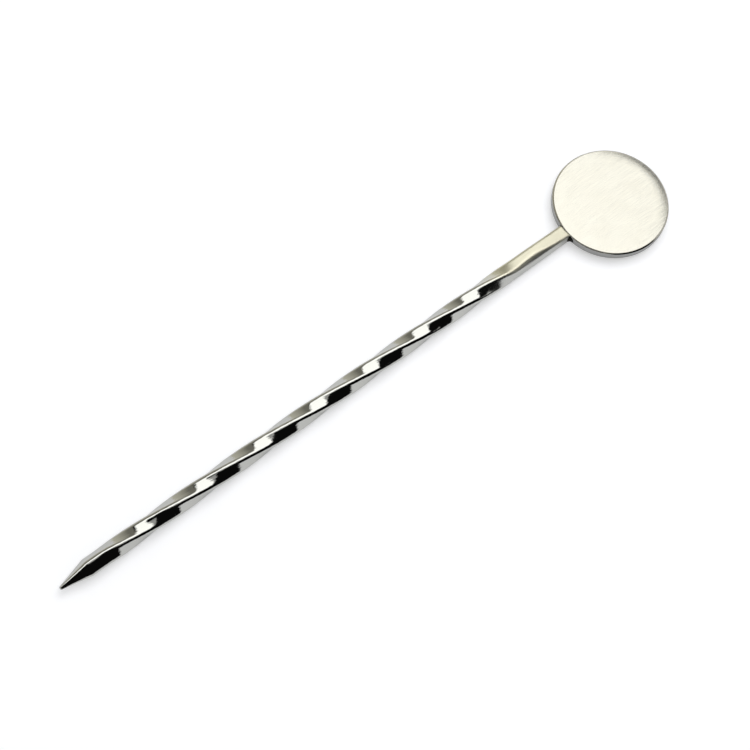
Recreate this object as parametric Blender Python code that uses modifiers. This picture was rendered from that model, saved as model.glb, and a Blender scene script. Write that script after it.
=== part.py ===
"""A cocktail pick: a twisted square bar with a ground point, pegged and brazed into the rim of a round disc.

Units are metres and +Z is up. The pick lies flat along X with its point towards -X, and the origin is at the
centre of the underside of its bounding box. The disc's faces look up and down.
"""

import math

import bmesh
import bpy

# Round head disc, blanked from sheet
DISC_DIAMETER = 0.018
DISC_THICKNESS = 0.0016
DISC_EDGE_ROUND = 0.00015

# Square bar of the stem, with a straight neck, a twisted length, a short straight end and a ground point
BAR_WIDTH = 0.0024
BAR_EDGE_ROUND = 0.0006
NECK_LENGTH = 0.0076
TWISTED_LENGTH = 0.0755
STRAIGHT_END_LENGTH = 0.0037
POINT_LENGTH = 0.005
TIP_WIDTH = 0.00045
QUARTER_TURN_LENGTH = 0.0099
TWIST_FADE = 0.0015
TWIST_END_FADE = 0.001
NECK_TURN = math.radians(8.5)

# The bar is set a little to the left of the disc's centre
BAR_OFFSET = 0.0003

# The neck is pressed thinner towards the disc, so that it runs flush into the disc's two faces
PRESSED_LENGTH = 0.006

# Peg turned on the bar's end, and the blind bore that holds it in the rim
PEG_DIAMETER = 0.0008
PEG_LENGTH = 0.003
BORE_CLEARANCE = 0.0001
BORE_END_CLEARANCE = 0.0003

# Silver braze between the bar's shoulder and the rim
JOINT_GAP = 0.0002
BRAZE_CLEARANCE = 0.00004
BRAZE_FILLET = 0.0005
BRAZE_RECESS = 0.00012

# Fineness of the round and twisted surfaces
DISC_SIDES = 96
PEG_SIDES = 24
CORNER_STEPS = 4
EDGE_ROUND_STEPS = 2
TWIST_STEPS_PER_QUARTER = 10
FILLET_STEPS = 6

DISC_RADIUS = DISC_DIAMETER / 2
PEG_RADIUS = PEG_DIAMETER / 2
BORE_RADIUS = PEG_RADIUS + BORE_CLEARANCE
SHOULDER_X = -DISC_RADIUS - JOINT_GAP
STEM_LENGTH = NECK_LENGTH + TWISTED_LENGTH + STRAIGHT_END_LENGTH + POINT_LENGTH
TIP_X = SHOULDER_X - STEM_LENGTH
CORNER_REACH = (BAR_WIDTH / 2 - BAR_EDGE_ROUND) * math.sqrt(2) + BAR_EDGE_ROUND
WELD_DISTANCE = 1e-6


def clear_scene():
    for old in list(bpy.data.objects):
        bpy.data.objects.remove(old, do_unlink=True)


def new_collection(name):
    collection = bpy.data.collections.new(name)
    bpy.context.scene.collection.children.link(collection)
    return collection


def metal(name, colour, roughness):
    material = bpy.data.materials.new(name)
    material.use_nodes = True
    shader = material.node_tree.nodes["Principled BSDF"]
    shader.inputs["Base Color"].default_value = (*colour, 1.0)
    shader.inputs["Metallic"].default_value = 1.0
    shader.inputs["Roughness"].default_value = roughness
    return material


def add_object(name, data, collection, parent):
    thing = bpy.data.objects.new(name, data)
    collection.objects.link(thing)
    thing.parent = parent
    return thing


def add_cutter(name, data, cutters, parent):
    cutter = add_object(name, data, cutters, parent)
    cutter.hide_render = True
    cutter.display_type = "WIRE"
    return cutter


def cylinder_mesh(name, radius, length, sides):
    """A capped cylinder along Z, centred on its middle."""
    mesh = bpy.data.meshes.new(name)
    shape = bmesh.new()
    bmesh.ops.create_cone(
        shape, cap_ends=True, segments=sides, radius1=radius, radius2=radius, depth=length
    )
    shape.to_mesh(mesh)
    shape.free()
    return mesh


def boolean(thing, other, operation):
    modifier = thing.modifiers.new(operation.lower() + "_" + other.name, "BOOLEAN")
    modifier.operation = operation
    modifier.object = other


def shade(thing):
    thing.data.shade_smooth()
    thing.data.set_sharp_from_angle(angle=math.radians(30))


def outline_curve(name, points, half_depth=0.0):
    """A closed flat outline, filled when it has a depth."""
    curve = bpy.data.curves.new(name, "CURVE")
    curve.dimensions = "2D"
    curve.fill_mode = "BOTH" if half_depth else "NONE"
    curve.extrude = half_depth
    spline = curve.splines.new("POLY")
    spline.points.add(len(points) - 1)
    for point, (x, y) in zip(spline.points, points):
        point.co = (x, y, 0.0, 1.0)
    spline.use_cyclic_u = True
    return curve


def mesh_from_curve(source, name):
    """The curve object's evaluated surface as a welded mesh, in the place of the curve, which is removed."""
    bpy.context.view_layer.update()
    graph = bpy.context.evaluated_depsgraph_get()
    mesh = bpy.data.meshes.new_from_object(source.evaluated_get(graph))
    mesh.name = name
    shape = bmesh.new()
    shape.from_mesh(mesh)
    bmesh.ops.remove_doubles(shape, verts=shape.verts, dist=WELD_DISTANCE)
    bmesh.ops.recalc_face_normals(shape, faces=shape.faces)
    shape.to_mesh(mesh)
    shape.free()
    curve = source.data
    bpy.data.objects.remove(source)
    bpy.data.curves.remove(curve)
    return mesh


def rounded_square(width, edge_round):
    """Points round a square whose four corners are arcs."""
    centre = width / 2 - edge_round
    points = []
    for corner in range(4):
        middle = math.pi / 4 + corner * math.pi / 2
        across = math.copysign(centre, math.cos(middle))
        up = math.copysign(centre, math.sin(middle))
        for step in range(CORNER_STEPS + 1):
            angle = middle - math.pi / 4 + step / CORNER_STEPS * math.pi / 2
            points.append((across + edge_round * math.cos(angle), up + edge_round * math.sin(angle)))
    return points


def turn_at(distance):
    """The bar's turn about its axis this far below the shoulder.

    There is none along the neck, then a steady rate that starts and stops gently, and none in the straight end.
    """
    past_neck = max(distance - NECK_LENGTH, 0.0)
    to_go = math.hypot(TWISTED_LENGTH - past_neck, TWIST_END_FADE)
    twisted = (past_neck + TWISTED_LENGTH - to_go) / 2
    turned_length = math.hypot(twisted, TWIST_FADE) - TWIST_FADE
    return NECK_TURN + turned_length / QUARTER_TURN_LENGTH * math.pi / 2


def bar_stations():
    """Distance below the shoulder and relative width of each section of the bar."""
    full_width_length = TWISTED_LENGTH + STRAIGHT_END_LENGTH
    steps = math.ceil(full_width_length / QUARTER_TURN_LENGTH * TWIST_STEPS_PER_QUARTER)
    stations = [(0.0, 1.0), (PRESSED_LENGTH, 1.0)]
    for step in range(steps + 1):
        stations.append((NECK_LENGTH + full_width_length * step / steps, 1.0))
    stations.append((STEM_LENGTH, TIP_WIDTH / BAR_WIDTH))
    return stations


def swept_bar(name, width, edge_round, stations, collection, parent):
    """The rounded square carried along X from the shoulder towards the tip, turning as it goes."""
    outline = outline_curve(name + "_section", rounded_square(width, edge_round))
    section = add_object(name + "_section", outline, collection, parent)
    path = bpy.data.curves.new(name + "_path", "CURVE")
    path.dimensions = "3D"
    path.twist_mode = "Z_UP"
    path.bevel_mode = "OBJECT"
    path.bevel_object = section
    path.use_fill_caps = True
    spline = path.splines.new("POLY")
    spline.points.add(len(stations) - 1)
    for point, (distance, relative) in zip(spline.points, stations):
        point.co = (-distance, 0.0, 0.0, 1.0)
        point.tilt = turn_at(distance)
        point.radius = relative
    source = add_object(name + "_path", path, collection, parent)
    mesh = mesh_from_curve(source, name)
    bpy.data.objects.remove(section)
    bpy.data.curves.remove(outline)
    return mesh


def make_disc(parts, cutters, disc_centre, bar_axis):
    disc = add_object(
        "head_disc", cylinder_mesh("head_disc", DISC_RADIUS, DISC_THICKNESS, DISC_SIDES), parts, disc_centre
    )
    edge = disc.modifiers.new("rounded_rim", "BEVEL")
    edge.width = DISC_EDGE_ROUND
    edge.segments = EDGE_ROUND_STEPS
    edge.limit_method = "ANGLE"
    depth = PEG_LENGTH - JOINT_GAP + BORE_END_CLEARANCE
    bore_length = depth + JOINT_GAP
    bore = add_cutter(
        "peg_bore", cylinder_mesh("peg_bore", BORE_RADIUS, bore_length, PEG_SIDES), cutters, bar_axis
    )
    bore.location.x = SHOULDER_X + bore_length / 2
    bore.rotation_euler.y = math.pi / 2
    boolean(disc, bore, "DIFFERENCE")
    disc.data.materials.append(metal("brushed_stainless", (0.74, 0.73, 0.68), 0.34))
    shade(disc)


def press_neck(bar, length, pressed_end):
    """Thins the end of the bar in height only, evenly from the pressed end to the disc's thickness at the disc."""
    press = bar.modifiers.new("pressed_neck", "SIMPLE_DEFORM")
    press.deform_method = "TAPER"
    press.deform_axis = "X"
    press.lock_y = True
    press.origin = pressed_end
    press.factor = DISC_THICKNESS / BAR_WIDTH - 1
    press.limits = (1 - PRESSED_LENGTH / length, 1.0)


def make_stem(parts, cutters, bar_axis, pressed_end):
    stem = add_object(
        "twisted_stem",
        swept_bar("twisted_stem", BAR_WIDTH, BAR_EDGE_ROUND, bar_stations(), cutters, bar_axis),
        parts,
        bar_axis,
    )
    stem.location.x = SHOULDER_X
    press_neck(stem, STEM_LENGTH, pressed_end)
    root = BAR_WIDTH / 2
    peg = add_cutter(
        "peg", cylinder_mesh("peg", PEG_RADIUS, PEG_LENGTH + root, PEG_SIDES), cutters, bar_axis
    )
    peg.location.x = SHOULDER_X + (PEG_LENGTH - root) / 2
    peg.rotation_euler.y = math.pi / 2
    boolean(stem, peg, "UNION")
    stem.data.materials.append(metal("polished_stainless", (0.65, 0.65, 0.64), 0.08))
    shade(stem)


def braze_side(side):
    """One half of the braze plan: the rim's arc, then a hollow fillet from the rim to the neck's side."""
    rim = DISC_RADIUS + BRAZE_CLEARANCE
    turned = math.cos(NECK_TURN) + math.sin(NECK_TURN)
    half_span = (BAR_WIDTH / 2 - BAR_EDGE_ROUND) * turned + BAR_EDGE_ROUND
    neck_side = half_span + side * BAR_OFFSET
    hollow_y = neck_side + 2 * BRAZE_CLEARANCE + BRAZE_FILLET
    hollow_x = -math.sqrt((rim + BRAZE_FILLET) ** 2 - hollow_y**2)
    rim_angle = math.atan2(hollow_y, -hollow_x)
    points = []
    for step in range(FILLET_STEPS + 1):
        angle = rim_angle * step / FILLET_STEPS
        points.append((-rim * math.cos(angle), side * rim * math.sin(angle)))
    toe = -math.pi / 2
    heel = -rim_angle
    for step in range(1, FILLET_STEPS + 1):
        angle = heel + (toe - heel) * step / FILLET_STEPS
        across = hollow_y + BRAZE_FILLET * math.sin(angle)
        points.append((hollow_x + BRAZE_FILLET * math.cos(angle), side * across))
    return points


def make_braze(parts, cutters, disc_centre, bar_axis, pressed_end):
    half_depth = DISC_THICKNESS / 2 - BRAZE_RECESS
    left, right = braze_side(1), braze_side(-1)
    plan = outline_curve("braze_plan", left + right[:0:-1], half_depth)
    source = add_object("braze_plan", plan, cutters, disc_centre)
    braze = add_object("braze_fillet", mesh_from_curve(source, "braze_fillet"), parts, disc_centre)
    stations = [(-BRAZE_CLEARANCE, 1.0), (PRESSED_LENGTH, 1.0), (NECK_LENGTH, 1.0)]
    grown = BAR_WIDTH + 2 * BRAZE_CLEARANCE
    grown_round = BAR_EDGE_ROUND + BRAZE_CLEARANCE
    neck_mesh = swept_bar("neck_space", grown, grown_round, stations, cutters, bar_axis)
    neck = add_cutter("neck_space", neck_mesh, cutters, bar_axis)
    neck.location.x = SHOULDER_X
    press_neck(neck, NECK_LENGTH + BRAZE_CLEARANCE, pressed_end)
    boolean(braze, neck, "DIFFERENCE")
    peg = add_cutter(
        "peg_space", cylinder_mesh("peg_space", BORE_RADIUS, 2 * PEG_LENGTH, PEG_SIDES), cutters, bar_axis
    )
    peg.location.x = SHOULDER_X
    peg.rotation_euler.y = math.pi / 2
    boolean(braze, peg, "DIFFERENCE")
    braze.data.materials.append(metal("silver_braze", (0.42, 0.41, 0.36), 0.4))
    shade(braze)


def main():
    clear_scene()
    parts = new_collection("cocktail_pick")
    cutters = new_collection("cutters")
    disc_centre = add_object("disc_centre", None, parts, None)
    middle_x = (DISC_RADIUS + TIP_X) / 2
    disc_centre.location = (-middle_x, 0.0, CORNER_REACH)
    bar_axis = add_object("bar_axis", None, parts, disc_centre)
    bar_axis.location.y = BAR_OFFSET
    pressed_end = add_object("pressed_end", None, parts, bar_axis)
    pressed_end.location.x = SHOULDER_X - PRESSED_LENGTH
    make_disc(parts, cutters, disc_centre, bar_axis)
    make_stem(parts, cutters, bar_axis, pressed_end)
    make_braze(parts, cutters, disc_centre, bar_axis, pressed_end)
    bpy.context.view_layer.update()


main()
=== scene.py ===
"""A stainless cocktail pick lying on a white table: a satin disc brazed to a polished, twisted square bar."""

import math

import bpy
import numpy as np
from mathutils import Euler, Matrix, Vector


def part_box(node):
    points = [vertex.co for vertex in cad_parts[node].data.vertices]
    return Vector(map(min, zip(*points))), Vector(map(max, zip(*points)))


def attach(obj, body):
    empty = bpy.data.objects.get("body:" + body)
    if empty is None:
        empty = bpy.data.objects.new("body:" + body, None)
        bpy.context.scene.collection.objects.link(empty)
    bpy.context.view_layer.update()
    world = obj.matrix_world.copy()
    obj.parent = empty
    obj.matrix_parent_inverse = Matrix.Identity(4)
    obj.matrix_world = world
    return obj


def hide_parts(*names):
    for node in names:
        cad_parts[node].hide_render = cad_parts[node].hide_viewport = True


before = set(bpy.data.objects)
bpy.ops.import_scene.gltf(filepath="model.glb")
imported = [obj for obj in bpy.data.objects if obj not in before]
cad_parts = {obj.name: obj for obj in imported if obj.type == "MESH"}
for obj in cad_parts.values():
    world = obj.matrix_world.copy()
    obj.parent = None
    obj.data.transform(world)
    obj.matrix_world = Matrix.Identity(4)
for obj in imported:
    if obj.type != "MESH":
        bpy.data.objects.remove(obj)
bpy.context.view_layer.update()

# Camera
# A hand-held view from above and from the point's side, about 0.27 m away. It is rolled, so that the pick
# lies from the lower left to the upper right.
CAMERA_PLACE = (-0.08488, -0.06872, 0.24747)
CAMERA_TURN_DEGREES = (23.146, -5.385, -38.707)
CAMERA_LENS_MM = 89.28
CAMERA_SENSOR_MM = 36.0
CAMERA_CLIP_START = 0.01

camera_data = bpy.data.cameras.new("camera")
camera_data.lens = CAMERA_LENS_MM
camera_data.sensor_width = CAMERA_SENSOR_MM
camera_data.clip_start = CAMERA_CLIP_START
camera = bpy.data.objects.new("camera", camera_data)
camera.location = CAMERA_PLACE
camera.rotation_euler = Euler([math.radians(angle) for angle in CAMERA_TURN_DEGREES])
bpy.context.scene.collection.objects.link(camera)
bpy.context.scene.camera = camera

# Disc
# The head is a round blank of 1.6 mm stainless sheet. Both faces were brushed along the pick and the edges
# eased on a cloth wheel, so the faces fall away a little over the last two millimetres.
disc_low, disc_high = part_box("head_disc")
DISC_MIDDLE_X = (disc_low.x + disc_high.x) / 2
DISC_RADIUS = (disc_high.x - disc_low.x) / 2
DISC_HALF_THICKNESS = (disc_high.z - disc_low.z) / 2
MIDDLE_Z = (disc_low.z + disc_high.z) / 2
EASED_WIDTH = 0.0018
EASED_DROP = 0.00008
EDGE_LEAN = math.radians(38.0)
EDGE_LEAD_ROUND = 0.0002
EDGE_SLOPE = 0.00018
EDGE_ROUND = 0.00005
EDGE_ROUNDS_APART = EDGE_LEAD_ROUND - EDGE_ROUND
EDGE_SLOPE_REACH = EDGE_SLOPE * math.cos(EDGE_LEAN) + EDGE_ROUNDS_APART * math.sin(EDGE_LEAN)
EDGE_SLOPE_FALL = EDGE_SLOPE * math.sin(EDGE_LEAN) + EDGE_ROUNDS_APART * (1 - math.cos(EDGE_LEAN))
EDGE_WIDTH = EDGE_ROUND + EDGE_SLOPE_REACH
DISC_SIDES = 256
FACE_RINGS = 24
FIRST_RING_SHARE = 0.02
EASED_RINGS = 20
ROUND_STEPS = 8


def linear(hex_colour):
    """The sRGB hex colour as linear red, green, blue and a full alpha."""
    coded = np.array([int(hex_colour[i : i + 2], 16) for i in (1, 3, 5)]) / 255
    light = np.where(coded <= 0.04045, coded / 12.92, ((coded + 0.055) / 1.055) ** 2.4)
    return (*light.tolist(), 1.0)


def closed_grid(name, rows, low_pole, high_pole):
    """A closed skin over rows of points, each row a ring, with the two ends drawn in to a pole."""
    count, sides = rows.shape[:2]
    ring = np.arange(sides)
    after = (ring + 1) % sides
    start = np.arange(count - 1)[:, None] * sides
    quads = np.stack([start + ring, start + after, start + sides + after, start + sides + ring], axis=-1)
    last = (count - 1) * sides
    low, high = count * sides, count * sides + 1
    low_fan = np.stack([np.full(sides, low), after, ring], axis=-1)
    high_fan = np.stack([np.full(sides, high), last + ring, last + after], axis=-1)
    points = np.concatenate([rows.reshape(-1, 3), [low_pole], [high_pole]])
    faces = quads.reshape(-1, 4).tolist() + low_fan.tolist() + high_fan.tolist()
    mesh = bpy.data.meshes.new(name)
    mesh.from_pydata(points.tolist(), [], faces)
    mesh.shade_smooth()
    piece = bpy.data.objects.new(name, mesh)
    bpy.context.scene.collection.objects.link(piece)
    return piece


def disc_rows():
    """Rings of the disc from the middle of its underside, round the rim, to the middle of its upper face.

    At radius r a face lies half a thickness from the middle. Over the eased width it falls by the eased drop
    times the square of the share of that width that r has gone past. Then the edge is broken by a straight
    slope. A wide arc leads into the slope from the face, and a small arc leads out of it to the rim.
    """
    flat_radius = DISC_RADIUS - EDGE_WIDTH - EASED_WIDTH
    inner = np.linspace(FIRST_RING_SHARE, 1.0, FACE_RINGS) * flat_radius
    share = np.linspace(0.0, 1.0, EASED_RINGS + 1)[1:]
    eased = flat_radius + share * EASED_WIDTH
    fallen = EASED_DROP * share**2
    into = np.linspace(0.0, EDGE_LEAN, ROUND_STEPS + 1)[1:]
    out_of = np.linspace(EDGE_LEAN, math.pi / 2, ROUND_STEPS + 1)
    lead_reach = EDGE_LEAD_ROUND * np.sin(into)
    lead_fall = EDGE_LEAD_ROUND * (1 - np.cos(into))
    last_reach = EDGE_SLOPE_REACH + EDGE_ROUND * np.sin(out_of)
    last_fall = EDGE_SLOPE_FALL + EDGE_ROUND * (1 - np.cos(out_of))
    edge_radius = DISC_RADIUS - EDGE_WIDTH + np.concatenate([lead_reach, last_reach])
    edge_fall = EASED_DROP + np.concatenate([lead_fall, last_fall])
    radius = np.concatenate([inner, eased, edge_radius])
    height = DISC_HALF_THICKNESS - np.concatenate([np.zeros(FACE_RINGS), fallen, edge_fall])
    radius = np.concatenate([radius, radius[::-1]])
    height = np.concatenate([-height, height[::-1]])
    angle = np.linspace(0.0, 2 * math.pi, DISC_SIDES, endpoint=False)
    x = DISC_MIDDLE_X + radius[:, None] * np.cos(angle)
    y = radius[:, None] * np.sin(angle)
    z = MIDDLE_Z + np.repeat(height[:, None], DISC_SIDES, axis=1)
    return np.stack([x, y, z], axis=-1)


def add_node(tree, node, settings, links):
    """A shader node of this kind, or one that is there already, with its settings and its joined inputs.

    A setting or input goes by its name or number. A link comes from a socket, or from a node's first live
    output.
    """
    if isinstance(node, str):
        node = tree.nodes.new(node)
    for key, value in settings.items():
        if isinstance(key, str) and key.islower():
            setattr(node, key, value)
    inputs = {socket.name: socket for socket in reversed(node.inputs) if socket.enabled}
    inputs.update(enumerate(node.inputs))
    for key, value in settings.items():
        if not (isinstance(key, str) and key.islower()):
            inputs[key].default_value = value
    for key, source in links.items():
        if isinstance(source, bpy.types.Node):
            source = next(socket for socket in source.outputs if socket.enabled)
        tree.links.new(source, inputs[key])
    return node


def new_material(name):
    """A new material, with its node tree and its main shader."""
    material = bpy.data.materials.new(name)
    material.use_nodes = True
    return material, material.node_tree, material.node_tree.nodes["Principled BSDF"]


disc = closed_grid(
    "satin_disc",
    disc_rows(),
    (DISC_MIDDLE_X, 0.0, MIDDLE_Z - DISC_HALF_THICKNESS),
    (DISC_MIDDLE_X, 0.0, MIDDLE_Z + DISC_HALF_THICKNESS),
)

# Brushed stainless steel. A fine abrasive belt was run over the sheet along the pick, which gives the eye a
# warm white sheen with faint hair lines in that direction. The rim is painted a darker grey: painted shade,
# for the shadowed table close under it that it mirrors. Real lines are about 0.02 mm apart and are drawn at
# 0.12 mm.
BRUSHED_LIGHT = "#DAD8CD"
BRUSHED_SHADE = "#D4D1C4"
RIM_SHADED_COLOUR = "#B4B4B1"
HAIR_LINES_PER_METRE = 8000
HAIR_LINE_STRETCH = 0.04
HAIR_LINE_DEPTH = 0.000007
HAIR_LOW = 0.35
HAIR_HIGH = 0.65
CLOUDS_PER_METRE = 260
FACE_ROUGH = 0.24
FACE_SMOOTH = 0.12
EDGE_ROUGH = 0.2
EDGE_BLEND_FROM = DISC_RADIUS - 1.3 * EDGE_WIDTH
RIM_FULL_FROM = DISC_RADIUS - EDGE_ROUND / 4

brushed, tree, shader = new_material("brushed_stainless_steel")
place = add_node(tree, "ShaderNodeTexCoord", {}, {}).outputs["Object"]
drawn_out = add_node(tree, "ShaderNodeMapping", {"Scale": (HAIR_LINE_STRETCH, 1.0, 1.0)}, {"Vector": place})
hair = add_node(
    tree,
    "ShaderNodeTexNoise",
    {"Scale": HAIR_LINES_PER_METRE, "Detail": 3.0, "Roughness": 0.6},
    {"Vector": drawn_out},
)
cloud = add_node(tree, "ShaderNodeTexNoise", {"Scale": CLOUDS_PER_METRE, "Detail": 4.0}, {"Vector": place})
tone = add_node(
    tree,
    "ShaderNodeMix",
    {"data_type": "RGBA", "A": linear(BRUSHED_LIGHT), "B": linear(BRUSHED_SHADE)},
    {"Factor": cloud},
)
face_finish = add_node(
    tree,
    "ShaderNodeMapRange",
    {"From Min": HAIR_LOW, "From Max": HAIR_HIGH, "To Min": FACE_SMOOTH, "To Max": FACE_ROUGH},
    {"Value": hair},
)
from_middle = add_node(
    tree, "ShaderNodeVectorMath", {"operation": "SUBTRACT", 1: (DISC_MIDDLE_X, 0.0, MIDDLE_Z)}, {0: place}
)
flat_place = add_node(
    tree, "ShaderNodeVectorMath", {"operation": "MULTIPLY", 1: (1.0, 1.0, 0.0)}, {0: from_middle}
)
radius = add_node(tree, "ShaderNodeVectorMath", {"operation": "LENGTH"}, {0: flat_place}).outputs["Value"]
edge = add_node(
    tree,
    "ShaderNodeMapRange",
    {"From Min": EDGE_BLEND_FROM, "From Max": DISC_RADIUS - EDGE_WIDTH},
    {"Value": radius},
)
# Painted shade: the rim wall takes a darker grey, for the shadowed table close under it that it mirrors.
rim = add_node(
    tree,
    "ShaderNodeMapRange",
    {"From Min": DISC_RADIUS - EDGE_ROUND, "From Max": RIM_FULL_FROM},
    {"Value": radius},
)
tone = add_node(
    tree, "ShaderNodeMix", {"data_type": "RGBA", "B": linear(RIM_SHADED_COLOUR)}, {"Factor": rim, "A": tone}
)
finish = add_node(
    tree, "ShaderNodeMix", {"data_type": "FLOAT", "B": EDGE_ROUGH}, {"Factor": edge, "A": face_finish}
)
lines = add_node(tree, "ShaderNodeBump", {"Strength": 1.0, "Distance": HAIR_LINE_DEPTH}, {"Height": hair})
add_node(tree, shader, {"Metallic": 1.0}, {"Base Color": tone, "Roughness": finish, "Normal": lines})

disc.data.materials.append(brushed)
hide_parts("head_disc")
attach(disc, "root")

# Stem
# The stem is one length of 2.4 mm square stainless bar, twisted to the right along most of its length and
# ground to a four-sided point. Its neck was pressed down to the thickness of the disc, and its shoulder
# follows the rim.
BAR_WIDTH = 0.0024
BAR_EDGE_ROUND = 0.0006
BAR_MIDDLE_Y = 0.0003
SHOULDER_X = DISC_MIDDLE_X - DISC_RADIUS - 0.0002
NECK_LENGTH = 0.0076
BAR_LENGTH = 0.0871
POINT_LENGTH = 0.0047
STEM_LENGTH = BAR_LENGTH + POINT_LENGTH
TIP_WIDTH = 0.00045
TIP_ROUND = 0.00015
TURN_PLACES_MM = (0.0, 10.4, 12.7, 15.0, 17.4, 22.4, 31.8, 41.2, 50.6, 60.2, 69.7, 77.0, 84.4, 92.0)
TURN_DEGREES = (8.5, 8.5, 29.0, 53.0, 76.0, 121.8, 212.0, 301.0, 387.5, 472.7, 555.7, 619.0, 686.0, 686.0)
BUFFED_PLACES_MM = (0.0, 2.5, 6.0, 8.0, 12.0, 15.0)
BUFFED_ROUNDS = (0.0004, 0.0005, 0.00115, 0.00105, 0.0005, 0.0006)
BUFFED_CORNER = np.array([0.0, 1.0, 0.0, 0.0])
MM_PER_METRE = 1000
EASED_OVER = 0.0022
PRESSED_LENGTH = 0.006
PRESSED_SOFTNESS = 0.0008
SHOULDER_HALF_DEPTH = 0.00074
RIM_GAP = 0.00004
COPED_LENGTH = 0.0015
SHOULDER_BREAK = 0.00002
TIP_SET_ASIDE = 0.0002
LAST_RING_SHARE = 0.03
POINT_ROUNDER_BY = 0.3
NECK_STATIONS = 60
BAR_STATIONS = 420
POINT_STATIONS = 40
EASED_STATIONS = 2001
FLAT_STEPS = 8
CORNER_STEPS = 12


def square_outline(edge_round):
    """Points round rounded squares, as two arrays: across and up, from the middle of the bar.

    The rounds come one row to a square, with the radius of each of its four corners.
    """
    corner = np.arange(4)[:, None] * math.pi / 2
    angle = corner + np.linspace(0.0, math.pi / 2, CORNER_STEPS + 1)[None, :]
    sign_across = np.sign(np.cos(corner + math.pi / 4))
    sign_up = np.sign(np.sin(corner + math.pi / 4))
    radius = edge_round[:, :, None]
    across = sign_across * (BAR_WIDTH / 2 - radius) + radius * np.cos(angle)
    up = sign_up * (BAR_WIDTH / 2 - radius) + radius * np.sin(angle)
    share = np.linspace(0.0, 1.0, FLAT_STEPS + 1)[1:-1]
    next_across = np.roll(across[:, :, :1], -1, axis=1)
    next_up = np.roll(up[:, :, :1], -1, axis=1)
    flat_across = across[:, :, -1:] * (1 - share) + next_across * share
    flat_up = up[:, :, -1:] * (1 - share) + next_up * share
    squares = len(edge_round)
    return (
        np.concatenate([across, flat_across], axis=2).reshape(squares, -1),
        np.concatenate([up, flat_up], axis=2).reshape(squares, -1),
    )


def eased_between(below, places_mm, values):
    """The value at places below the shoulder.

    It runs straight between the listed places, and is then eased by a running mean.
    """
    places = np.linspace(0.0, STEM_LENGTH, EASED_STATIONS)
    straight = np.interp(places * MM_PER_METRE, places_mm, values)
    half = round(EASED_OVER / STEM_LENGTH * EASED_STATIONS / 2)
    padded = np.pad(straight, half, mode="edge")
    eased = np.convolve(padded, np.full(2 * half + 1, 1 / (2 * half + 1)), mode="valid")
    return np.interp(below, places, eased)


def softly_over(amount, softness):
    """The amount where it is well above zero, zero where it is well below, and a smooth bend between."""
    return (amount + np.hypot(amount, softness)) / 2


def stem_rows():
    """Rings of the bar from its shoulder to its tip, and the place each point had before the bar was twisted.

    The rounded square is carried along X and turned about it by the listed turns, a quarter turn for about
    each 9.9 mm of twist, and none over the neck or the point. Over the point it shrinks evenly, its corners
    get rounder and its middle moves to one side, and at the tip it closes like a circle. Near the disc its
    height shrinks evenly to the shoulder's, and one corner takes the listed rounds instead of the plain one.
    The first rings follow the disc's rim.
    """
    neck = np.linspace(0.0, 1.0, NECK_STATIONS, endpoint=False) * NECK_LENGTH
    bar = NECK_LENGTH + np.linspace(0.0, 1.0, BAR_STATIONS, endpoint=False) * (BAR_LENGTH - NECK_LENGTH)
    point = BAR_LENGTH + np.sin(np.linspace(0.0, math.pi / 2, POINT_STATIONS)) * POINT_LENGTH
    below = np.concatenate([[0.0], neck + SHOULDER_BREAK, bar, point])[:, None]
    along_point = np.clip((below - BAR_LENGTH) / POINT_LENGTH, 0.0, 1.0)
    width = 1 - (1 - TIP_WIDTH / BAR_WIDTH) * along_point
    left = np.clip((STEM_LENGTH - below) / TIP_ROUND, LAST_RING_SHARE, 1.0)
    width = width * np.sqrt(1 - (1 - left) ** 2)
    width[0] = 1 - 2 * SHOULDER_BREAK / BAR_WIDTH
    turn = eased_between(below, TURN_PLACES_MM, np.radians(TURN_DEGREES))
    pressed = softly_over(PRESSED_LENGTH - below, PRESSED_SOFTNESS) / PRESSED_LENGTH
    depth = 1 - (1 - 2 * SHOULDER_HALF_DEPTH / BAR_WIDTH) * pressed
    buffed = eased_between(below, BUFFED_PLACES_MM, BUFFED_ROUNDS)
    edge_round = BAR_EDGE_ROUND + (buffed - BAR_EDGE_ROUND) * BUFFED_CORNER
    across, up = square_outline(edge_round * (1 + POINT_ROUNDER_BY * along_point))
    middle_y = BAR_MIDDLE_Y - TIP_SET_ASIDE * along_point
    y = middle_y + width * (across * np.cos(turn) + up * np.sin(turn))
    z = depth * width * (up * np.cos(turn) - across * np.sin(turn))
    rim_x = DISC_MIDDLE_X - np.sqrt((DISC_RADIUS + RIM_GAP) ** 2 - y**2)
    coped = np.clip(1 - below / COPED_LENGTH, 0.0, 1.0) ** 2
    x = SHOULDER_X - below + (rim_x - SHOULDER_X) * coped
    rows = np.stack([x, y, MIDDLE_Z + z], axis=-1)
    straight = np.stack(np.broadcast_arrays(below, width * across, width * up), axis=-1)
    return rows, straight


stem_skin, straight = stem_rows()
shoulder_pole = (DISC_MIDDLE_X - DISC_RADIUS - RIM_GAP, BAR_MIDDLE_Y, MIDDLE_Z)
tip_pole = (SHOULDER_X - STEM_LENGTH, BAR_MIDDLE_Y - TIP_SET_ASIDE, MIDDLE_Z)
stem = closed_grid("twisted_bar", stem_skin, shoulder_pole, tip_pole)
before_twist = stem.data.attributes.new("before_twist", "FLOAT_VECTOR", "POINT")
poles = np.array([[0.0, 0.0, 0.0], [STEM_LENGTH, 0.0, 0.0]])
before_twist.data.foreach_set("vector", np.concatenate([straight.reshape(-1, 3), poles]).ravel())
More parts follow.
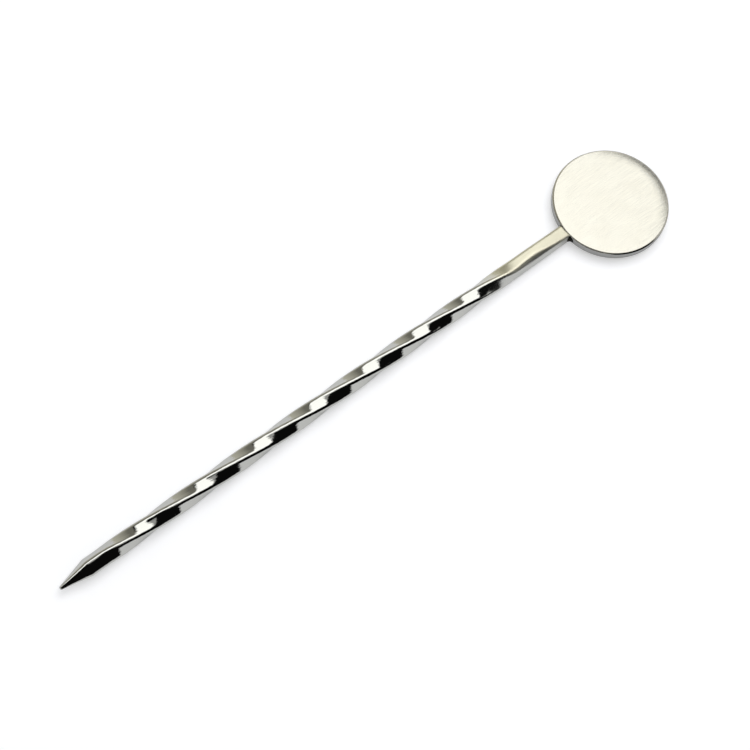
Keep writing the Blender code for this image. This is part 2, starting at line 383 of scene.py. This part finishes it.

# Polished stainless steel. The bar was buffed bright after twisting and left satin near the disc, where the
# wheel could not follow. It mirrors the room in black and white, and fine buffing lines feather the ends of
# the reflections. The neck's upper side is painted a lighter, warm white: a painted sheen where the
# softbox light falls on it. Real lines are about 0.01 mm apart and are drawn at 0.2 mm.
POLISHED_COLOUR = "#D4D4CE"
NECK_TOP_SHEEN_COLOUR = "#E8E4CD"
SHEEN_SIDE_FROM = 0.3 * BAR_WIDTH
SHEEN_SIDE_FULL = 0.48 * BAR_WIDTH
BUFF_LINES_PER_METRE = 5000
BUFF_LINE_STRETCH = 0.05
BUFF_LINE_DEPTH = 0.000012
SATIN_UNTIL = 0.0105
POLISHED_FROM = 0.0185
POLISHED_ROUGH = 0.05
SATIN_ROUGH = 0.31

polished, tree, shader = new_material("polished_stainless_steel")
before = add_node(tree, "ShaderNodeAttribute", {"attribute_name": "before_twist"}, {})
straight_place = before.outputs["Vector"]
drawn_out = add_node(
    tree, "ShaderNodeMapping", {"Scale": (BUFF_LINE_STRETCH, 1.0, 1.0)}, {"Vector": straight_place}
)
buffing = add_node(
    tree,
    "ShaderNodeTexNoise",
    {"Scale": BUFF_LINES_PER_METRE, "Detail": 2.0, "Roughness": 0.5},
    {"Vector": drawn_out},
)
parts = add_node(tree, "ShaderNodeSeparateXYZ", {}, {"Vector": straight_place}).outputs
satin = add_node(
    tree,
    "ShaderNodeMapRange",
    {
        "interpolation_type": "SMOOTHSTEP",
        "From Min": SATIN_UNTIL,
        "From Max": POLISHED_FROM,
        "To Min": 1.0,
        "To Max": 0.0,
    },
    {"Value": parts["X"]},
)
# Painted sheen: the upper side of the satin neck, which faces the softbox, takes a lighter warm white.
upper_side = add_node(
    tree,
    "ShaderNodeMapRange",
    {"From Min": SHEEN_SIDE_FROM, "From Max": SHEEN_SIDE_FULL},
    {"Value": parts["Z"]},
)
painted_sheen = add_node(tree, "ShaderNodeMath", {"operation": "MULTIPLY"}, {0: satin, 1: upper_side})
tone = add_node(
    tree,
    "ShaderNodeMix",
    {"data_type": "RGBA", "A": linear(POLISHED_COLOUR), "B": linear(NECK_TOP_SHEEN_COLOUR)},
    {"Factor": painted_sheen},
)
finish = add_node(
    tree, "ShaderNodeMapRange", {"To Min": POLISHED_ROUGH, "To Max": SATIN_ROUGH}, {"Value": satin}
)
lines = add_node(tree, "ShaderNodeBump", {"Strength": 1.0, "Distance": BUFF_LINE_DEPTH}, {"Height": buffing})
add_node(tree, shader, {"Metallic": 1.0}, {"Base Color": tone, "Roughness": finish, "Normal": lines})

stem.data.materials.append(polished)
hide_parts("twisted_stem")
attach(stem, "root")

# Braze
# Silver braze was run between the bar's shoulder and the rim. It fills the seam and stands in each corner as
# a small bead with a hollow face. It is drawn dull and near black: painted shade for the shadowed join.
LEFT_BEAD_REACH = 0.00012
RIGHT_BEAD_REACH = 0.00058
BEAD_HALF_HEIGHT = 0.00066
BEAD_CLEARANCE = 0.00001
BEAD_ROWS = 24
BEAD_END_ANGLE = 0.08
BEAD_SIDE_STEPS = 8
BEAD_HOLLOW_STEPS = 16
BEAD_HOLLOW = 0.3
FULL_WIDTH_RING = 2
BAR_SIDE_FROM = BAR_WIDTH / 4
SEAM_HALF_LENGTH = BAR_WIDTH / 2 - BAR_EDGE_ROUND / 4


def rim_point(y, away):
    """The places in plan on a circle this far outside the rim, on the bar's side, at these places across."""
    return np.stack([DISC_MIDDLE_X - np.sqrt((DISC_RADIUS + away) ** 2 - y**2), y], axis=-1)


def bead_rows(side, reach):
    """Rings of one corner bead from its foot to its top, each a plan of the bead at that height.

    A plan runs along the rim to the bar, down the bar's side, and back on a hollow quadratic curve. Its two
    legs are as long as the bead's reach half way up, and shorten towards both ends like the width of an
    ellipse. The side is 1 on the left as seen from the point, and -1 on the right.
    """
    around = np.linspace(BEAD_END_ANGLE, math.pi - BEAD_END_ANGLE, BEAD_ROWS)
    lift = -np.cos(around) * BEAD_HALF_HEIGHT
    leg = reach * np.sqrt(1 - (lift / BEAD_HALF_HEIGHT) ** 2)[:, None]
    ring = stem_skin[FULL_WIDTH_RING]
    beside = ring[side * (ring[:, 1] - BAR_MIDDLE_Y) > BAR_SIDE_FROM]
    beside = beside[np.argsort(beside[:, 2])]
    neck_y = np.interp(MIDDLE_Z + lift, beside[:, 2], beside[:, 1])[:, None] + side * BEAD_CLEARANCE
    share = np.linspace(0.0, 1.0, BEAD_SIDE_STEPS, endpoint=False)[None, :]
    on_rim = rim_point(neck_y + side * leg * (1 - share), BEAD_CLEARANCE)
    corner = rim_point(neck_y, BEAD_CLEARANCE)
    down_bar = np.stack(np.broadcast_arrays(corner[..., 0] - leg * share, neck_y), axis=-1)
    bend = np.linspace(0.0, 1.0, BEAD_HOLLOW_STEPS, endpoint=False)[None, :, None]
    foot = np.stack([corner[..., 0] - leg, neck_y], axis=-1)
    head = rim_point(neck_y + side * leg, BEAD_CLEARANCE)
    pull = corner + BEAD_HOLLOW * ((foot + head) / 2 - corner)
    hollow = (1 - bend) ** 2 * foot + 2 * bend * (1 - bend) * pull + bend**2 * head
    plan = np.concatenate([on_rim, down_bar, hollow], axis=1)
    height = np.repeat((MIDDLE_Z + lift)[:, None, None], plan.shape[1], axis=1)
    return np.concatenate([plan, height], axis=-1)


def seam_rows():
    """Rings of the thin sheet of braze that fills the seam, each a plan of it: out along the rim and back."""
    y = BAR_MIDDLE_Y + np.linspace(-1.0, 1.0, BEAD_HOLLOW_STEPS) * SEAM_HALF_LENGTH
    plan = np.concatenate([rim_point(y, BEAD_CLEARANCE), rim_point(y[::-1], RIM_GAP - BEAD_CLEARANCE)])
    plans = np.broadcast_to(plan, (BEAD_ROWS, *plan.shape))
    level = np.linspace(-1.0, 1.0, BEAD_ROWS)[:, None, None] * BEAD_HALF_HEIGHT + MIDDLE_Z
    return np.concatenate([plans, np.broadcast_to(level, (BEAD_ROWS, len(plan), 1))], axis=-1)


braze_parts = []
for name, rings in (
    ("left", bead_rows(1, LEFT_BEAD_REACH)),
    ("right", bead_rows(-1, RIGHT_BEAD_REACH)),
    ("seam", seam_rows()),
):
    braze_parts.append(closed_grid("braze_" + name, rings, rings[0].mean(axis=0), rings[-1].mean(axis=0)))
with bpy.context.temp_override(
    active_object=braze_parts[0], selected_objects=braze_parts, selected_editable_objects=braze_parts
):
    bpy.ops.object.join()
braze = braze_parts[0]
braze.name = "silver_braze_bead"

# Silver braze with a fine dull grain, painted near black: painted shade for the shadowed gap where the bar
# meets the rim. Real grain is finer than the 0.2 mm drawn here.
BRAZE_SHADED_COLOUR = "#2B2924"
BRAZE_SHADED_DARK = "#100F0D"
BRAZE_GRAIN_PER_METRE = 5000
BRAZE_ROUGH = 0.45

shaded_braze, tree, shader = new_material("shaded_silver_braze")
place = add_node(tree, "ShaderNodeTexCoord", {}, {}).outputs["Object"]
grain = add_node(
    tree, "ShaderNodeTexNoise", {"Scale": BRAZE_GRAIN_PER_METRE, "Detail": 3.0}, {"Vector": place}
)
# Painted shade: both colours are near black, for the shadow in the join rather than the braze's own silver.
tone = add_node(
    tree,
    "ShaderNodeMix",
    {"data_type": "RGBA", "A": linear(BRAZE_SHADED_DARK), "B": linear(BRAZE_SHADED_COLOUR)},
    {"Factor": grain},
)
add_node(tree, shader, {"Metallic": 1.0, "Roughness": BRAZE_ROUGH}, {"Base Color": tone})

braze.data.materials.append(shaded_braze)
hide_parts("braze_fillet")
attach(braze, "root")

# Table
# A white sheet. It shows white to the camera and keeps the pick's soft shadow.
TABLE_REACH = 3.0
TABLE_COLOUR = "#E6E7EA"
TABLE_GLOW = 0.39
TABLE_GLOW_IN_METAL = 0.08

table_mesh = bpy.data.meshes.new("table")
corners = np.array([[-1, -1, 0], [1, -1, 0], [1, 1, 0], [-1, 1, 0]]) * TABLE_REACH
table_mesh.from_pydata(corners.tolist(), [], [[0, 1, 2, 3]])
table = bpy.data.objects.new("table", table_mesh)
bpy.context.scene.collection.objects.link(table)


def ray_kinds(tree):
    """Two outputs, each 1 or 0: for rays from the camera, and for rays that metal or glass sends on."""
    rays = add_node(tree, "ShaderNodeLightPath", {}, {}).outputs
    sent_on = add_node(
        tree,
        "ShaderNodeMath",
        {"operation": "MAXIMUM"},
        {0: rays["Is Glossy Ray"], 1: rays["Is Transmission Ray"]},
    )
    return rays["Is Camera Ray"], sent_on


paper, tree, shader = new_material("white_paper")
tree.nodes.remove(shader)
surface = tree.nodes["Material Output"]
sheet_face = add_node(tree, "ShaderNodeBsdfDiffuse", {"Color": linear(TABLE_COLOUR)}, {})
from_camera, sent_on = ray_kinds(tree)
to_camera = add_node(tree, "ShaderNodeMath", {"operation": "MULTIPLY", 1: TABLE_GLOW}, {0: from_camera})
in_metal = add_node(tree, "ShaderNodeMath", {"operation": "MULTIPLY", 1: TABLE_GLOW_IN_METAL}, {0: sent_on})
glow = add_node(tree, "ShaderNodeMath", {"operation": "MAXIMUM"}, {0: to_camera, 1: in_metal})
shine = add_node(tree, "ShaderNodeEmission", {"Color": linear("#FFFFFF")}, {"Strength": glow})
both = add_node(tree, "ShaderNodeAddShader", {}, {0: sheet_face, 1: shine})
add_node(tree, surface, {}, {"Surface": both})
table.data.materials.append(paper)

# Light and room
# A softbox hangs nearly overhead, a little to the left of the pick as seen from its point. It is narrow over
# the point and wider towards the disc, with an arm that reaches on at the left, and a dimmer flap hangs on
# its right. A pale card stands on the left and fades upwards. The room is dark overhead and on the right,
# with a pale wall round the rest of it. The metal sees all of these, and an area light in the softbox's
# place lights the table.
SOFTBOX_LEAN = math.radians(10.5)
SOFTBOX_AWAY = 0.5
SOFTBOX_MIDDLE_X = 0.26
SOFTBOX_LENGTH = 0.5
SOFTBOX_WIDTH = 0.45
SOFTBOX_GLOW = 1.5
SOFTBOX_POWER = 2.1
FACE_OUTLINE = (
    (-0.32, 0.13),
    (0.02, 0.13),
    (0.2, 0.235),
    (0.31, 0.25),
    (0.37, 0.36),
    (0.6, 0.42),
    (0.6, 0.25),
    (0.4, 0.2),
    (0.4, -0.2),
    (0.25, -0.2),
    (0.14, -0.235),
    (0.05, -0.2),
    (0.01, -0.13),
    (-0.32, -0.13),
)
FLAP_OUTLINE = ((0.01, -0.13), (0.05, -0.2), (0.14, -0.235), (0.17, -0.26), (0.08, -0.37), (0.01, -0.42))
FLAP_GLOW = 0.4
CARD_AWAY = 0.6
CARD_HEIGHT = 1.0
CARD_START_X = -1.0
CARD_END_X = 1.5
CARD_COLOUR = "#FFFCED"
CARD_FOOT_GLOW = 0.6
CARD_TOP_GLOW = 0.19
CARD_FADE_HEIGHT = 0.56
WALL_AWAY = 1.5
WALL_HEIGHT = 1.3
WALL_FROM = math.radians(-50.0)
WALL_TO = math.radians(245.0)
WALL_GLOW = 0.6
WALL_PANELS = 60
ROOM_REACH = 2.0
ROOM_GLOW = 0.004
ROOM_RINGS = 16
ROOM_SIDES = 48
SKY_LEVEL = 0.5

softbox_data = bpy.data.lights.new("softbox", "AREA")
softbox_data.shape = "RECTANGLE"
softbox_data.size = SOFTBOX_LENGTH
softbox_data.size_y = SOFTBOX_WIDTH
softbox_data.energy = SOFTBOX_POWER * math.pi * SOFTBOX_LENGTH * SOFTBOX_WIDTH
softbox = bpy.data.objects.new("softbox", softbox_data)
softbox.location = (
    SOFTBOX_MIDDLE_X,
    SOFTBOX_AWAY * math.sin(SOFTBOX_LEAN),
    MIDDLE_Z + SOFTBOX_AWAY * math.cos(SOFTBOX_LEAN),
)
softbox.rotation_euler = (-SOFTBOX_LEAN, 0.0, 0.0)
softbox.visible_camera = False
softbox.visible_glossy = False
bpy.context.scene.collection.objects.link(softbox)


def glowing(name, colour):
    """A material that only gives light, with its node tree and its emission node."""
    material, tree, shader = new_material(name)
    tree.nodes.remove(shader)
    shine = add_node(tree, "ShaderNodeEmission", {"Color": colour}, {})
    add_node(tree, tree.nodes["Material Output"], {}, {"Surface": shine})
    return material, tree, shine


def room_piece(name, points, faces, material):
    """A card or wall of the room, seen only in the metal."""
    mesh = bpy.data.meshes.new(name)
    mesh.from_pydata(points, [], faces)
    mesh.materials.append(material)
    piece = bpy.data.objects.new(name, mesh)
    piece.visible_camera = False
    piece.visible_diffuse = False
    piece.visible_shadow = False
    bpy.context.scene.collection.objects.link(piece)


for name, outline, level in (
    ("softbox_face", FACE_OUTLINE, SOFTBOX_GLOW),
    ("softbox_flap", FLAP_OUTLINE, FLAP_GLOW),
):
    cloth, tree, shine = glowing(name, linear("#FFFFFF"))
    add_node(tree, shine, {"Strength": level}, {})
    plan = np.array(outline)
    y = SOFTBOX_AWAY * math.sin(SOFTBOX_LEAN) + plan[:, 1] * math.cos(SOFTBOX_LEAN)
    z = MIDDLE_Z + SOFTBOX_AWAY * math.cos(SOFTBOX_LEAN) - plan[:, 1] * math.sin(SOFTBOX_LEAN)
    room_piece(name, np.stack([plan[:, 0], y, z], axis=-1).tolist(), [list(range(len(outline)))], cloth)

card_light, tree, shine = glowing("pale_card", linear(CARD_COLOUR))
place = add_node(tree, "ShaderNodeTexCoord", {}, {}).outputs["Object"]
card_z = add_node(tree, "ShaderNodeSeparateXYZ", {}, {"Vector": place}).outputs["Z"]
fade = add_node(
    tree,
    "ShaderNodeMapRange",
    {"From Max": CARD_FADE_HEIGHT, "To Min": CARD_FOOT_GLOW, "To Max": CARD_TOP_GLOW},
    {"Value": card_z},
)
add_node(tree, shine, {}, {"Strength": fade})
card_corners = [(x, CARD_AWAY, z) for z in (0.0, CARD_HEIGHT) for x in (CARD_START_X, CARD_END_X)]
room_piece("pale_card", card_corners, [[0, 1, 3, 2]], card_light)

pale_paint, tree, shine = glowing("pale_wall", linear("#FFFFFF"))
add_node(tree, shine, {"Strength": WALL_GLOW}, {})
bearing = np.linspace(WALL_FROM, WALL_TO, WALL_PANELS + 1)
foot = np.stack([WALL_AWAY * np.cos(bearing), WALL_AWAY * np.sin(bearing), np.zeros_like(bearing)], axis=-1)
head = foot + (0.0, 0.0, WALL_HEIGHT)
panel = np.arange(WALL_PANELS)
above = panel + len(bearing)
panels = np.stack([panel, above, above + 1, panel + 1], axis=-1)
room_piece("pale_wall", np.concatenate([foot, head]).tolist(), panels.tolist(), pale_paint)

dark_wall, tree, shine = glowing("dark_room", linear("#FFFFFF"))
add_node(tree, shine, {"Strength": ROOM_GLOW}, {})
elevation = np.linspace(0.0, math.pi / 2, ROOM_RINGS)[:, None]
azimuth = np.linspace(0.0, 2 * math.pi, ROOM_SIDES, endpoint=False)
level = np.cos(elevation)
dome = np.broadcast_arrays(level * np.cos(azimuth), level * np.sin(azimuth), np.sin(elevation))
ring = np.arange(ROOM_SIDES)
start = np.arange(ROOM_RINGS - 1)[:, None] * ROOM_SIDES
after = (ring + 1) % ROOM_SIDES
higher = start + ROOM_SIDES
panels = np.stack([start + ring, higher + ring, higher + after, start + after], axis=-1)
room_piece(
    "dark_room",
    (ROOM_REACH * np.stack(dome, axis=-1)).reshape(-1, 3).tolist(),
    panels.reshape(-1, 4).tolist(),
    dark_wall,
)

world = bpy.data.worlds.new("world")
world.use_nodes = True
bpy.context.scene.world = world
tree = world.node_tree
tree.nodes.clear()
from_camera, sent_on = ray_kinds(tree)
seen = add_node(tree, "ShaderNodeMath", {"operation": "MAXIMUM"}, {0: from_camera, 1: sent_on})
level = add_node(tree, "ShaderNodeMapRange", {"To Min": SKY_LEVEL, "To Max": 1.0}, {"Value": seen})
sky = add_node(tree, "ShaderNodeBackground", {"Color": linear("#FFFFFF")}, {"Strength": level})
add_node(tree, "ShaderNodeOutputWorld", {}, {"Surface": sky})

bpy.context.scene.view_settings.view_transform = "Standard"
